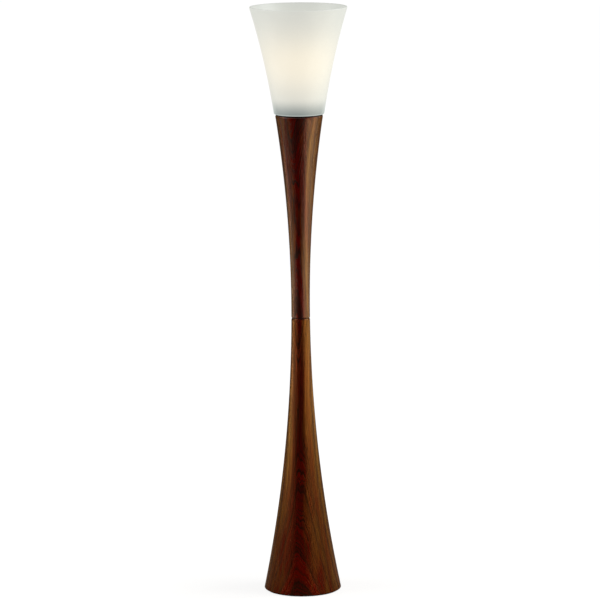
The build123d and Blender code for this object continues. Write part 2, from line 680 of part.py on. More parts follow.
# Bulb's contact tip: a solder button with a stud in the insulator
with BuildPart() as bulb_contact:
    with BuildSketch(Plane.XY.offset(bulb_tip)):
        Circle(TIP_RADIUS)
    extrude(amount=TIP_THICKNESS)
    fillet(bulb_contact.edges().filter_by(GeomType.CIRCLE).sort_by(Axis.Z)[0], TIP_EDGE)
    with BuildSketch(Plane.XY.offset(bulb_tip + TIP_THICKNESS)):
        Circle(STUD_RADIUS)
    extrude(amount=STUD_LENGTH)

# Black glass insulator between the tip and the screw cap
with BuildPart() as bulb_insulator:
    insulator_bottom = bulb_tip + TIP_THICKNESS + SEAT_GAP
    with BuildSketch(Plane.XZ):
        with BuildLine():
            plug_radius = CAP_HOLE_RADIUS - THREAD_GAP
            plug_top = bulb_tip + CAP_BOTTOM + INSULATOR_PLUG
            Polyline(
                (STUD_RADIUS + SEAT_GAP, insulator_bottom),
                (INSULATOR_BOTTOM_RADIUS, insulator_bottom),
                (THREAD_CORE_RADIUS - INSULATOR_INSET, bulb_tip + CAP_BOTTOM),
                (plug_radius, bulb_tip + CAP_BOTTOM),
                (plug_radius, plug_top),
                (STUD_RADIUS + SEAT_GAP, plug_top),
                close=True,
            )
        make_face()
    revolve(axis=Axis.Z)

# Screw cap: a sheet cup with a flared rim around the neck and a rolled thread
with BuildPart() as bulb_cap:
    with BuildSketch(Plane.XZ):
        with BuildLine():
            cap_inner = THREAD_CORE_RADIUS - CAP_SHEET
            shoulder_top = bulb_tip + CAP_SHOULDER + CAP_RIM_FLARE
            Polyline(
                (CAP_HOLE_RADIUS, bulb_tip + CAP_BOTTOM),
                (THREAD_CORE_RADIUS, bulb_tip + CAP_BOTTOM),
                (THREAD_CORE_RADIUS, bulb_tip + CAP_SHOULDER),
                (rim_radius, shoulder_top),
                (rim_radius, bulb_tip + CAP_RIM_TOP),
                (rim_radius - CAP_SHEET, bulb_tip + CAP_RIM_TOP),
                (rim_radius - CAP_SHEET, shoulder_top),
                (cap_inner, bulb_tip + CAP_SHOULDER),
                (cap_inner, bulb_tip + CAP_BOTTOM + CAP_SHEET),
                (CAP_HOLE_RADIUS, bulb_tip + CAP_BOTTOM + CAP_SHEET),
                close=True,
            )
        make_face()
    revolve(axis=Axis.Z)
    ridge_start = bulb_tip + THREAD_START
    with BuildLine() as ridge_path:
        Helix(THREAD_PITCH, THREAD_TURNS * THREAD_PITCH, THREAD_CORE_RADIUS, center=(0, 0, ridge_start))
    ridge = thread_section(ridge_start, THREAD_CORE_RADIUS, THREAD_WIDTH, THREAD_SINK)
    sweep(ridge, path=ridge_path.line, is_frenet=True)


def envelope(inset):
    """Half outline of the bulb's glass, inset from its outer face: neck, hollow arc, round globe."""
    centre = bulb_tip + BULB_CENTRE
    rise = BULB_CENTRE - NECK_TOP
    hollow = (rise**2 + neck_radius**2 - BULB_RADIUS**2) / 2 / (BULB_RADIUS - neck_radius)
    share = (BULB_RADIUS - inset) / (BULB_RADIUS + hollow)
    meeting = (share * (neck_radius + hollow), centre - share * rise)
    neck_top = (neck_radius - inset, bulb_tip + NECK_TOP)
    neck = Line((neck_radius - inset, bulb_tip + NECK_BOTTOM), neck_top)
    shoulder = TangentArc(neck_top, meeting, tangent=(0, 1))
    globe = TangentArc(meeting, (0, centre + BULB_RADIUS - inset), tangent=shoulder % 1)
    return neck @ 0, globe @ 1


# Bulb's glass envelope
with BuildPart() as bulb_globe:
    with BuildSketch(Plane.XZ):
        with BuildLine():
            outer_neck, outer_crown = envelope(0)
            inner_neck, inner_crown = envelope(BULB_GLASS)
            Line(outer_neck, inner_neck)
            Line(outer_crown, inner_crown)
        make_face()
    revolve(axis=Axis.Z)

# Glass stem sealed into the neck, with its support wires and filament
with BuildPart() as bulb_stem:
    with BuildSketch(Plane.XZ):
        with BuildLine():
            stem_bottom = bulb_tip + NECK_BOTTOM
            flare_radius = neck_radius - BULB_GLASS - THREAD_GAP
            Polyline(
                (0, stem_bottom),
                (flare_radius, stem_bottom),
                (flare_radius, stem_bottom + STEM_RIM),
                (STEM_RADIUS, bulb_tip + STEM_FLARE_TOP),
                (STEM_RADIUS, bulb_tip + STEM_TOP),
                (0, bulb_tip + STEM_TOP),
                close=True,
            )
        make_face()
    revolve(axis=Axis.Z)

filament_height = bulb_tip + BULB_CENTRE
support_top = filament_height - FILAMENT_RADIUS - SUPPORT_RADIUS
with BuildPart() as bulb_supports:
    for side in (1, -1):
        with BuildLine() as support:
            Line(
                (side * SUPPORT_FOOT, 0, bulb_tip + STEM_TOP + SUPPORT_RADIUS),
                (side * SUPPORT_SPREAD, 0, support_top),
            )
        with BuildSketch(Plane(origin=support.line @ 0, z_dir=support.line % 0)):
            Circle(SUPPORT_RADIUS)
        sweep(path=support.line)

with BuildPart() as bulb_filament:
    with BuildLine() as coil:
        ThreePointArc(
            (SUPPORT_SPREAD, 0, filament_height),
            (0, 0, filament_height + FILAMENT_RISE),
            (-SUPPORT_SPREAD, 0, filament_height),
        )
    with BuildSketch(Plane(origin=coil.line @ 0, z_dir=coil.line % 0)):
        Circle(FILAMENT_RADIUS)
    sweep(path=coil.line)

pieces = {
    "lower_column": lower_column,
    "upper_column": upper_column,
    "lower_tube": lower_tube,
    "upper_tube": upper_tube,
    "tube_coupler": tube_coupler,
    "lower_nut": lower_nut,
    "seam_nut": seam_nut,
    "upper_nut": upper_nut,
    "weight_washer": weight_washer,
    "lock_washer": lock_washer,
    "seam_washer": seam_washer,
    "base_weight": base_weight,
    "base_cover": base_cover,
    "cover_screws": cover_screws,
    "base_felt": base_felt,
    "tube_bushing": tube_bushing,
    "cord_inlet": cord_inlet,
    "inlet_nut": inlet_nut,
    "live_lead": live_lead,
    "neutral_lead": neutral_lead,
    "lead_caps": lead_caps,
    "shade_holder": shade_holder,
    "shade_gasket": shade_gasket,
    "glass_shade": glass_shade,
    "socket_bracket": socket_bracket,
    "bracket_screws": bracket_screws,
    "socket_body": socket_body,
    "socket_shell": socket_shell,
    "socket_contact": socket_contact,
    "terminal_screws": terminal_screws,
    "bulb_contact": bulb_contact,
    "bulb_insulator": bulb_insulator,
    "bulb_cap": bulb_cap,
    "bulb_globe": bulb_globe,
    "bulb_stem": bulb_stem,
    "bulb_supports": bulb_supports,
    "bulb_filament": bulb_filament,
}
for name, piece in pieces.items():
    piece.part.label = name
    export_step(piece.part, f"parts/{name}.step")
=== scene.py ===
from math import cos, hypot, pi, radians, sin

import bmesh
import bpy
import numpy as np
from mathutils import Matrix, Vector


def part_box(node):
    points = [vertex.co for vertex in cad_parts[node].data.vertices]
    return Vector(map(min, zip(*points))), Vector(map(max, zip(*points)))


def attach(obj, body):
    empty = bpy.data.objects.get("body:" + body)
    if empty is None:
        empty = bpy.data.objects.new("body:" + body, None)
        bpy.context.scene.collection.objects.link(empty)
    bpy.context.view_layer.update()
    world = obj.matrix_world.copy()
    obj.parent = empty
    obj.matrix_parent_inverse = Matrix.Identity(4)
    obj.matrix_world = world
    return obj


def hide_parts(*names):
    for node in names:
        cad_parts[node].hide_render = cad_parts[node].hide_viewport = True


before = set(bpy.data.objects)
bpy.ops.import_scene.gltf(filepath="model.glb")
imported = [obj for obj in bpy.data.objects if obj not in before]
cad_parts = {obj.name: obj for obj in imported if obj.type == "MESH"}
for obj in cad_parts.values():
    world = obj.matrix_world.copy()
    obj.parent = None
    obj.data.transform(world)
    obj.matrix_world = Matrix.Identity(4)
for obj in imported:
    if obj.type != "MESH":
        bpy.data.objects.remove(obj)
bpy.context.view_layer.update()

# Looks of a torchiere floor lamp: a turned column of stained wood under a lit shade of opal glass.
# Lengths are in metres; +Z is up, +Y is the back and the camera stands in front, at -Y.

MM = 0.001

# Outline of the turned column and of the shade, as the CAD draws them
FOOT_RADIUS = 97.0 * MM
WAIST_RADIUS = 23.4 * MM
COLUMN_TOP_RADIUS = 59.6 * MM
SEAM_LEAN = radians(0.5)
FOOT_EDGE = 2.5 * MM
SHADE_TOP_RADIUS = 122.0 * MM
SHADE_BOTTOM_RADIUS = 62.5 * MM
SHADE_SAG = 5.0 * MM
SHADE_WALL = 4.5 * MM
SHADE_FLOOR = 5.0 * MM
SHADE_RIM_EDGE = 2.0 * MM
SHADE_BOTTOM_EDGE = 2.5 * MM
SHADE_HOLE_EDGE = 1.2 * MM
SHADE_INSIDE_EDGE = 5.0 * MM
COLLAR_RADIUS = 39.5 * MM

# Edges at the seam and under the shade, wider than the CAD's roundings so that they catch the light
SEAM_BEVEL_DEPTH = 2.2 * MM
SEAM_BEVEL_HEIGHT = 3.4 * MM
TOP_BEVEL_DEPTH = 2.4 * MM
TOP_BEVEL_HEIGHT = 2.8 * MM
BEVEL_EDGE = 1.0 * MM
UPPER_SEAM_EDGE = 1.6 * MM

# Room left in the wood and the glass around what sits in them, and how far the inlet's drill runs on into
# the hollow foot
HOLE_GAP = 0.4 * MM
COVER_GAP = 0.3 * MM
WEIGHT_GAP = 2.0 * MM
COLLAR_GAP = 0.5 * MM
INLET_FLANGE = 3.0 * MM
INLET_SLEEVE_RADIUS = 5.55 * MM
DRILL_OVERRUN = 2.5 * MM

# Felt pad: cut a little smaller than the CAD's, with its thickness divided by this for the pressed edge's
# rounding, and a radius that wavers by a share of itself in waves of (count around the turn, phase)
FELT_TRIM = 0.6 * MM
FELT_EDGE_PART = 2.2
FELT_WAVER = 0.0018
FELT_WAVES = ((7, 1.0), (19, 0.0), (43, 2.0))

# Fineness of the turned meshes, and what counts as a sharp edge, one point and no length
AROUND = 256
EDGE_STEPS = 7
COLUMN_STEPS = 90
SHADE_STEPS = 48
SHARP_ANGLE = radians(32)
SAME_POINT = 1e-7
NO_LENGTH = 1e-12

lower_low, lower_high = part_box("lower_column")
upper_low, upper_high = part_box("upper_column")
shade_low, shade_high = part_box("glass_shade")
felt_low, felt_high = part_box("base_felt")
inlet_low, inlet_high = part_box("cord_inlet")
coupler_low, coupler_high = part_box("tube_coupler")
cover_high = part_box("base_cover")[1]
weight_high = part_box("base_weight")[1]
seam_nut_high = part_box("seam_nut")[1]
bulb_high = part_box("bulb_globe")[1]
bulb_centre = bulb_high.z - bulb_high.x
tube_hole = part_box("lower_tube")[1].x + HOLE_GAP
FELT_RADIUS = felt_high.x - FELT_TRIM


def unit(vectors):
    """Each vector divided by its length; a vector with no length stays as it is."""
    return vectors / np.maximum(np.linalg.norm(vectors, axis=-1, keepdims=True), NO_LENGTH)


def rounded(corners):
    """Closed outline of (radius, height, rounding) corners, each corner rounded by an arc.

    An arc's centre lies on the corner's bisector, rounding / sin(half the corner's angle) from the corner.
    Its points lie in the directions between the two that run from the centre to the tangent points, which
    are rounding / tan(half the angle) from the corner. A corner with no rounding stays one point.
    """
    corners = np.asarray(corners, float)
    point, rounding = corners[:, None, :2], corners[:, None, 2:]
    back = unit(np.roll(point, 1, 0) - point)
    ahead = unit(np.roll(point, -1, 0) - point)
    half = np.arccos(np.clip((back * ahead).sum(-1, keepdims=True), -1, 1)) / 2
    centre = point + unit(back + ahead) * rounding / np.sin(half)
    first = point + back * rounding / np.tan(half) - centre
    last = point + ahead * rounding / np.tan(half) - centre
    share = np.linspace(0, 1, EDGE_STEPS)[None, :, None]
    arcs = centre + rounding * unit(first * (1 - share) + last * share)
    kept = (rounding[..., 0] > 0) | (np.arange(EDGE_STEPS) == 0)
    return arcs[kept]


def turned(name, outline, closed=True):
    """Solid of revolution about Z: (radius cos turn, radius sin turn, height) over outline and turn.

    The outline runs up the outside, so that faces point outwards. An outline that isn't closed starts and
    ends on the axis, where each ring of equal points is merged into a pole.
    """
    turn = np.arange(AROUND) * 2 * pi / AROUND
    radius, height = outline[:, :1], outline[:, 1:]
    points = np.stack([radius * np.cos(turn), radius * np.sin(turn), height + 0 * turn], -1)
    rows = np.arange(len(outline) if closed else len(outline) - 1)[:, None]
    next_rows = (rows + 1) % len(outline)
    columns = np.arange(AROUND)[None, :]
    next_columns = (columns + 1) % AROUND
    corners = [(rows, columns), (rows, next_columns), (next_rows, next_columns), (next_rows, columns)]
    quads = np.stack([row * AROUND + column for row, column in corners], -1).reshape(-1, 4)
    return mesh_piece(name, points.reshape(-1, 3), quads, not closed)


def mesh_piece(name, points, quads, merge=False):
    """Object at the origin whose mesh holds these points and quads, with equal points merged on request."""
    mesh = bpy.data.meshes.new(name)
    mesh.from_pydata(points.tolist(), [], quads.tolist())
    if merge:
        shape = bmesh.new()
        shape.from_mesh(mesh)
        bmesh.ops.remove_doubles(shape, verts=shape.verts, dist=SAME_POINT)
        shape.to_mesh(mesh)
        shape.free()
    smooth(mesh)
    piece = bpy.data.objects.new(name, mesh)
    bpy.context.scene.collection.objects.link(piece)
    return piece


def smooth(mesh):
    """Smooth shading, with real edges left sharp."""
    mesh.polygons.foreach_set("use_smooth", np.ones(len(mesh.polygons), bool))
    mesh.set_sharp_from_angle(angle=SHARP_ANGLE)


def drill(piece, cutter):
    """Cuts one mesh out of another and keeps the result as the piece's own mesh."""
    cut = piece.modifiers.new("drilled", "BOOLEAN")
    cut.object, cut.operation, cut.solver = cutter, "DIFFERENCE", "EXACT"
    evaluated = piece.evaluated_get(bpy.context.evaluated_depsgraph_get())
    mesh = bpy.data.meshes.new_from_object(evaluated)
    piece.modifiers.clear()
    piece.data = mesh
    bpy.data.objects.remove(cutter)
    smooth(mesh)


# Turned column

def column_side(end_radius, end_height, seam_height):
    """Radius and height from a column half's end to its seam.

    The side is an arc that leaves the seam at the lean angle: with s the spread of the radius and h the
    half's height, it bows by s cos(lean) - h sin(lean), and its radius is (s*s + h*h) / 2 / bow.
    """
    spread, rise = end_radius - WAIST_RADIUS, abs(end_height - seam_height)
    up = np.sign(end_height - seam_height)
    lean = SEAM_LEAN if up < 0 else -SEAM_LEAN
    bow = spread * cos(lean) - rise * sin(lean)
    arc = (spread**2 + rise**2) / 2 / bow
    height = np.linspace(end_height, seam_height, COLUMN_STEPS)
    along = (height - seam_height) * up
    radius = WAIST_RADIUS + arc * cos(lean) - np.sqrt(arc**2 - (along + arc * sin(lean)) ** 2)
    return np.stack([radius, height, 0 * height], -1)


def make_lower_column():
    """Lower half: flared foot, hollow below for the weight, bored for the tube, drilled for the cord inlet.

    A small bevel under the seam catches the light from above.
    """
    side = column_side(FOOT_RADIUS, lower_low.z, lower_high.z)
    side[0, 2] = FOOT_EDGE
    side[-1] = WAIST_RADIUS, lower_high.z - SEAM_BEVEL_HEIGHT, BEVEL_EDGE
    coupler_hole = coupler_high.x + HOLE_GAP
    recess, cover_hole = weight_high.x + WEIGHT_GAP, cover_high.x + COVER_GAP
    inside = [
        (WAIST_RADIUS - SEAM_BEVEL_DEPTH, lower_high.z, BEVEL_EDGE),
        (coupler_hole, lower_high.z, 0),
        (coupler_hole, coupler_low.z, 0),
        (tube_hole, coupler_low.z, 0),
        (tube_hole, weight_high.z, 0),
        (recess, weight_high.z, 0),
        (recess, cover_high.z, 0),
        (cover_hole, cover_high.z, 0),
        (cover_hole, lower_low.z, 0),
    ]
    column = turned("turned_lower_column", rounded(np.vstack([side, inside])))
    seat = inlet_high.y - INLET_FLANGE
    spot_radius = inlet_high.x + HOLE_GAP
    inner_end = recess - DRILL_OVERRUN
    stepped = np.array(
        [
            (0, inner_end),
            (INLET_SLEEVE_RADIUS, inner_end),
            (INLET_SLEEVE_RADIUS, seat),
            (spot_radius, seat),
            (spot_radius, FOOT_RADIUS),
            (0, FOOT_RADIUS),
        ]
    )
    cutter = turned("inlet_cutter", stepped, closed=False)
    inlet_height = (inlet_low.z + inlet_high.z) / 2
    cutter.data.transform(Matrix.Translation((0, 0, inlet_height)) @ Matrix.Rotation(radians(-90), 4, "X"))
    drill(column, cutter)
    return column


def make_upper_column():
    """Upper half: flared head, bored for the tube and counterbored below for the nut at the seam.

    Its upper rim has a small bevel, which catches the light of the shade and from above.
    """
    side = column_side(COLUMN_TOP_RADIUS, upper_high.z, upper_low.z)[::-1]
    bevel_start = upper_high.z - TOP_BEVEL_HEIGHT
    side[0, 2] = UPPER_SEAM_EDGE
    side[-1] = np.interp(bevel_start, side[:, 1], side[:, 0]), bevel_start, BEVEL_EDGE
    nut_recess = seam_nut_high.x + HOLE_GAP
    inside = [
        (COLUMN_TOP_RADIUS - TOP_BEVEL_DEPTH, upper_high.z, BEVEL_EDGE),
        (tube_hole, upper_high.z, 0),
        (tube_hole, seam_nut_high.z, 0),
        (nut_recess, seam_nut_high.z, 0),
        (nut_recess, upper_low.z, 0),
    ]
    return turned("turned_upper_column", rounded(np.vstack([side, inside])))


# Glass shade

def shade_side(start_height, end_height, inset):
    """Radius and height along one face of the shade's wall.

    Both faces are arcs about one centre, outside the shade: the outer one bows in by the sag from the
    straight line between its ends, so its radius is chord * chord / 8 / sag + sag / 2, and the inner one
    lies the wall's thickness further from the centre.
    """
    spread, rise = SHADE_TOP_RADIUS - SHADE_BOTTOM_RADIUS, shade_high.z - shade_low.z
    chord = hypot(spread, rise)
    arc = chord**2 / 8 / SHADE_SAG + SHADE_SAG / 2
    reach = arc - SHADE_SAG
    centre_radius = (SHADE_TOP_RADIUS + SHADE_BOTTOM_RADIUS) / 2 + reach * rise / chord
    centre_height = shade_low.z + rise / 2 - reach * spread / chord
    height = np.linspace(start_height, end_height, SHADE_STEPS)
    radius = centre_radius - np.sqrt((arc + inset) ** 2 - (height - centre_height) ** 2)
    return np.stack([radius, height, 0 * height], -1)


def make_shade():
    """Blown shade: flared wall of even thickness, rounded rim, and a floor with a hole for the collar."""
    floor_top = shade_low.z + SHADE_FLOOR
    hole = COLLAR_RADIUS + COLLAR_GAP
    outer = shade_side(shade_low.z, shade_high.z, 0)
    inner = shade_side(shade_high.z, floor_top, SHADE_WALL)
    outer[0, 2], outer[-1, 2] = SHADE_BOTTOM_EDGE, SHADE_RIM_EDGE
    inner[0, 2], inner[-1, 2] = SHADE_RIM_EDGE, SHADE_INSIDE_EDGE
    floor = [(hole, floor_top, SHADE_HOLE_EDGE), (hole, shade_low.z, SHADE_HOLE_EDGE)]
    return turned("blown_glass_shade", rounded(np.vstack([outer, inner, floor])))


# Felt pad

def make_felt():
    """Die-cut felt disc, with an edge that is rounded by pressing and wavers a little around the turn.

    Each point's radius is multiplied by 1 + waver * (sum of sin(count * turn + phase) over the waves).
    """
    edge = felt_high.z / FELT_EDGE_PART
    radius = FELT_RADIUS
    outline = rounded(
        [
            (0, felt_low.z, 0),
            (radius / 2, felt_low.z, 0),
            (radius, felt_low.z, edge),
            (radius, felt_high.z, edge),
            (radius / 2, felt_high.z, 0),
            (0, felt_high.z, 0),
        ]
    )
    pad = turned("felt_pad", outline, closed=False)
    points = np.empty(len(pad.data.vertices) * 3)
    pad.data.vertices.foreach_get("co", points)
    points = points.reshape(-1, 3)
    turn = np.arctan2(points[:, 1], points[:, 0])
    waver = sum(np.sin(count * turn + phase) for count, phase in FELT_WAVES)
    points[:, :2] *= 1 + FELT_WAVER * waver[:, None]
    pad.data.vertices.foreach_set("co", points.ravel())
    return pad


# Materials

def linear(code):
    """Linear RGBA of an sRGB hex colour."""
    share = np.array([int(code[place : place + 2], 16) for place in (1, 3, 5)]) / 255
    light = np.where(share <= 0.04045, share / 12.92, ((share + 0.055) / 1.055) ** 2.4)
    return (*light, 1.0)


def add(tree, kind, inputs={}, **settings):
    """Adds a node, gives it its settings, and sets or links its input sockets."""
    node = tree.nodes.new("ShaderNode" + kind)
    for name, value in settings.items():
        setattr(node, name, value)
    for socket, value in inputs.items():
        if isinstance(value, bpy.types.NodeSocket):
            tree.links.new(value, node.inputs[socket])
        else:
            node.inputs[socket].default_value = value
    return node


def new_material(name):
    """An empty node material, its tree and its Object coordinates."""
    material = bpy.data.materials.new(name)
    material.use_nodes = True
    tree = material.node_tree
    tree.nodes.clear()
    return material, tree, add(tree, "TexCoord").outputs["Object"]


def per(across, along):
    """Mapping scale that turns sizes in millimetres across and along the grain into texture units."""
    return (1 / (across * MM), 1 / (across * MM), 1 / (along * MM))


# Sizes in walnut's figure, in millimetres; those of patterns are (across, along) the grain
SLOW_WANDER_SIZE, SLOW_WANDER = (70, 420), 18
QUICK_WANDER_SIZE, QUICK_WANDER = (14, 110), 3
FLUTE_HALF_WIDTH, FLUTE_HEIGHT = 9, 2
RING_WIDTH = 1.2
FIBRE_SIZE = (3.2, 130)
PORE_SIZE = (1.1, 24)
TONE_SIZE = (17, 240)
GRAIN_RELIEF = 0.3
# How many rings they drift by, where in a ring its latewood starts and is full, and how dark a year can be
RING_DRIFT = 2.2
LATE_START, LATE_FULL = 0.42, 0.9
PALE_YEAR, DARK_YEAR = 0.45, 1.3
# Shares of dark stain in good and lean years, fibres and pores
GOOD_YEARS, LEAN_YEARS = -0.22, 0.64
FIBRE_STAIN, PORE_STAIN = 0.34, 0.3
# What moves a side towards red or golden, as painted shade or painted light over the wood's own tone, the
# height in metres up to which the column grows redder towards the foot, and the sum at which a side is
# all golden
FOOT_REDDENING, FOOT_REDDENING_HEIGHT = -0.38, 0.4
TONE_DRIFT, GOLDEN_FULL = 0.5, 1.1
# The wood's red, also painted as shade on the front and back; its golden, also painted as light on the
# sides; and the stain's dark
RED_WOOD_AND_SHADE, GOLDEN_WOOD_AND_LIGHT, DARK_WOOD = "#8e1304", "#a46e28", "#3c0805"
# Roughness of the lacquer, over plain wood and over pores and latewood
LACQUER_SMOOTH, LACQUER_DULL = 0.19, 0.38


def stained_walnut(name, pith, lean, seed, golden_from, lacquer, gleam, gloss_level):
    """Walnut turned from a solid blank, stained red brown, under satin lacquer.

    The growth rings are cylinders about the blank's pith, so the flared side cuts them in tall arches
    where it faces away from the pith and in long streaks beside them. Latewood and open pores take the
    stain darker. Over the wood's own red and golden tone, the sides that face left and right carry painted
    golden light, and those that face the front and back painted red shade. The lacquer leaves a soft
    gloss with a hint of the pores in it, and the fibres under it gleam in their own colour, for which the
    shader has a metallic share.

    The pith and lean place the blank's axis, and the seed its pattern. A side starts to take the painted
    golden light where its facing to the left and right, with the tone and the redder foot added, passes
    golden_from. The lacquer is the gloss's tint, gleam the fibres' metallic share and gloss_level the
    strength of the lacquer's own gloss.
    """
    material, tree, place = new_material(name)
    blank = add(
        tree, "Mapping", {"Vector": place, "Location": pith, "Rotation": lean}, vector_type="TEXTURE"
    ).outputs[0]
    slow = add(
        tree, "Mapping", {"Vector": blank, "Location": (seed, 0, 0), "Scale": per(*SLOW_WANDER_SIZE)}
    ).outputs[0]
    slow = add(tree, "TexNoise", {"Vector": slow, "Scale": 1.0, "Detail": 1.0}).outputs["Color"]
    quick = add(
        tree, "Mapping", {"Vector": blank, "Location": (0, seed, 0), "Scale": per(*QUICK_WANDER_SIZE)}
    ).outputs[0]
    quick = add(tree, "TexNoise", {"Vector": quick, "Scale": 1.0, "Detail": 2.0}).outputs["Color"]
    wander = blank
    for drift, reach in ((slow, SLOW_WANDER * MM), (quick, QUICK_WANDER * MM)):
        wander = add(
            tree, "VectorMath", {0: drift, 1: (reach, reach, 0), 2: wander}, operation="MULTIPLY_ADD"
        ).outputs[0]
    level = add(tree, "VectorMath", {0: wander, 1: (1, 1, 0)}, operation="MULTIPLY").outputs[0]
    from_pith = add(tree, "VectorMath", {0: level}, operation="LENGTH").outputs["Value"]

    # A flute in the trunk on the side away from the pith, as high as exp(-square of the share of its half
    # width): the rings follow it, so the turned side cuts them there in a stack of narrow arches
    beside = (pith[1] / hypot(*pith[:2]), -pith[0] / hypot(*pith[:2]), 0)
    flute = add(tree, "VectorMath", {0: wander, 1: beside}, operation="DOT_PRODUCT").outputs["Value"]
    flute = add(tree, "Math", {0: flute, 1: 1 / (FLUTE_HALF_WIDTH * MM)}, operation="MULTIPLY").outputs[0]
    flute = add(tree, "Math", {0: flute, 1: flute}, operation="MULTIPLY").outputs[0]
    flute = add(tree, "Math", {0: flute, 1: -1.0}, operation="MULTIPLY").outputs[0]
    flute = add(tree, "Math", {0: flute}, operation="EXPONENT").outputs[0]
    from_pith = add(
        tree, "Math", {0: flute, 1: FLUTE_HEIGHT * MM, 2: from_pith}, operation="MULTIPLY_ADD"
    ).outputs[0]

    # Rings that are wider and narrower in turns, with some years much darker than the others
    rings = add(tree, "Math", {0: from_pith, 1: 1 / (RING_WIDTH * MM)}, operation="MULTIPLY").outputs[0]
    uneven = add(
        tree, "TexNoise", {"W": rings, "Scale": 0.27, "Detail": 1.0}, noise_dimensions="1D"
    ).outputs["Fac"]
    rings = add(tree, "Math", {0: uneven, 1: RING_DRIFT, 2: rings}, operation="MULTIPLY_ADD").outputs[0]
    year = add(tree, "Math", {0: rings}, operation="FLOOR").outputs[0]
    within = add(tree, "Math", {0: rings}, operation="FRACT").outputs[0]
    late = add(
        tree,
        "MapRange",
        {"Value": within, "From Min": LATE_START, "From Max": LATE_FULL},
        interpolation_type="SMOOTHSTEP",
    ).outputs[0]
    ending = add(
        tree,
        "MapRange",
        {"Value": within, "From Min": LATE_FULL, "From Max": 1.0, "To Min": 1.0, "To Max": 0.0},
        interpolation_type="SMOOTHSTEP",
    ).outputs[0]
    late = add(tree, "Math", {0: late, 1: ending}, operation="MULTIPLY").outputs[0]
    depth = add(tree, "TexWhiteNoise", {"W": year}, noise_dimensions="1D").outputs["Value"]
    depth = add(tree, "Math", {0: depth, 1: 2.0}, operation="POWER").outputs[0]
    depth = add(tree, "MapRange", {"Value": depth, "To Min": PALE_YEAR, "To Max": DARK_YEAR}).outputs[0]
    late = add(tree, "Math", {0: late, 1: depth}, operation="MULTIPLY").outputs[0]

    # Runs of good and lean years, as light and dark bands a few rings wide. Noise keeps near its middle, so
    # the range that is taken from it, here and below, is the narrow one in which it mostly lies
    band = add(
        tree,
        "TexNoise",
        {"W": rings, "Scale": 0.2, "Detail": 3.0, "Roughness": 0.65},
        noise_dimensions="1D",
    ).outputs["Fac"]
    band = add(
        tree,
        "MapRange",
        {"Value": band, "From Min": 0.36, "From Max": 0.66, "To Min": GOOD_YEARS, "To Max": LEAN_YEARS},
    ).outputs[0]

    # Fibres and pores are drawn coarser than in the wood, so that they show from a few steps away
    fibre = add(tree, "Mapping", {"Vector": wander, "Scale": per(*FIBRE_SIZE)}).outputs[0]
    fibre = add(tree, "TexNoise", {"Vector": fibre, "Scale": 1.0, "Detail": 3.0}).outputs["Fac"]
    fibre = add(tree, "MapRange", {"Value": fibre, "From Min": 0.37, "From Max": 0.64}).outputs[0]
    pore = add(tree, "Mapping", {"Vector": wander, "Scale": per(*PORE_SIZE)}).outputs[0]
    pore = add(tree, "TexNoise", {"Vector": pore, "Scale": 1.0, "Detail": 1.0}).outputs["Fac"]
    pore = add(tree, "MapRange", {"Value": pore, "From Min": 0.58, "From Max": 0.72}).outputs[0]
    tone = add(
        tree, "Mapping", {"Vector": blank, "Location": (0, 0, seed), "Scale": per(*TONE_SIZE)}
    ).outputs[0]
    tone = add(tree, "TexNoise", {"Vector": tone, "Scale": 1.0, "Detail": 3.0}).outputs["Fac"]
    tone = add(tree, "MapRange", {"Value": tone, "From Min": 0.36, "From Max": 0.64}).outputs[0]

    # Painted light and shade: a side that faces left or right is painted golden, as where light falls, and
    # one that faces the front or back is painted red, as in shade; the column also grows redder towards the
    # foot
    facing = place.node.outputs["Normal"]
    painted_side_light = add(tree, "VectorMath", {0: facing, 1: beside}, operation="DOT_PRODUCT").outputs["Value"]
    painted_side_light = add(tree, "Math", {0: painted_side_light}, operation="ABSOLUTE").outputs[0]
    height = add(tree, "SeparateXYZ", {0: place}).outputs["Z"]
    # Redder towards the foot
    foot_reddening = add(
        tree, "MapRange", {"Value": height, "From Max": FOOT_REDDENING_HEIGHT, "To Min": FOOT_REDDENING, "To Max": 0.0}
    ).outputs[0]
    golden = add(tree, "Math", {0: painted_side_light, 1: foot_reddening}, operation="ADD").outputs[0]
    golden = add(tree, "Math", {0: tone, 1: TONE_DRIFT, 2: golden}, operation="MULTIPLY_ADD").outputs[0]
    golden = add(
        tree, "MapRange", {"Value": golden, "From Min": golden_from, "From Max": GOLDEN_FULL}
    ).outputs[0]

    ground = add(
        tree, "Mix", {0: golden, 6: linear(RED_WOOD_AND_SHADE), 7: linear(GOLDEN_WOOD_AND_LIGHT)}, data_type="RGBA"
    ).outputs[2]
    stain = add(tree, "Math", {0: fibre, 1: FIBRE_STAIN, 2: late}, operation="MULTIPLY_ADD").outputs[0]
    stain = add(tree, "Math", {0: band, 1: stain}, operation="ADD").outputs[0]
    stain = add(
        tree, "Math", {0: pore, 1: PORE_STAIN, 2: stain}, operation="MULTIPLY_ADD", use_clamp=True
    ).outputs[0]
    colour = add(tree, "Mix", {0: stain, 6: ground, 7: linear(DARK_WOOD)}, data_type="RGBA").outputs[2]

    gloss = add(
        tree, "MapRange", {"Value": stain, "To Min": LACQUER_SMOOTH, "To Max": LACQUER_DULL}
    ).outputs[0]
    raised = add(tree, "Math", {0: stain, 1: -1.0, 2: fibre}, operation="MULTIPLY_ADD").outputs[0]
    normal = add(
        tree, "Bump", {"Height": raised, "Strength": 0.6, "Distance": GRAIN_RELIEF * MM}
    ).outputs[0]
    shader = add(
        tree,
        "BsdfPrincipled",
        {
            "Base Color": colour,
            "Metallic": gleam,
            "Roughness": gloss,
            "Normal": normal,
            "Specular IOR Level": gloss_level,
            "Specular Tint": linear(lacquer),
        },
    ).outputs[0]
    add(tree, "OutputMaterial", {"Surface": shader})
    return material
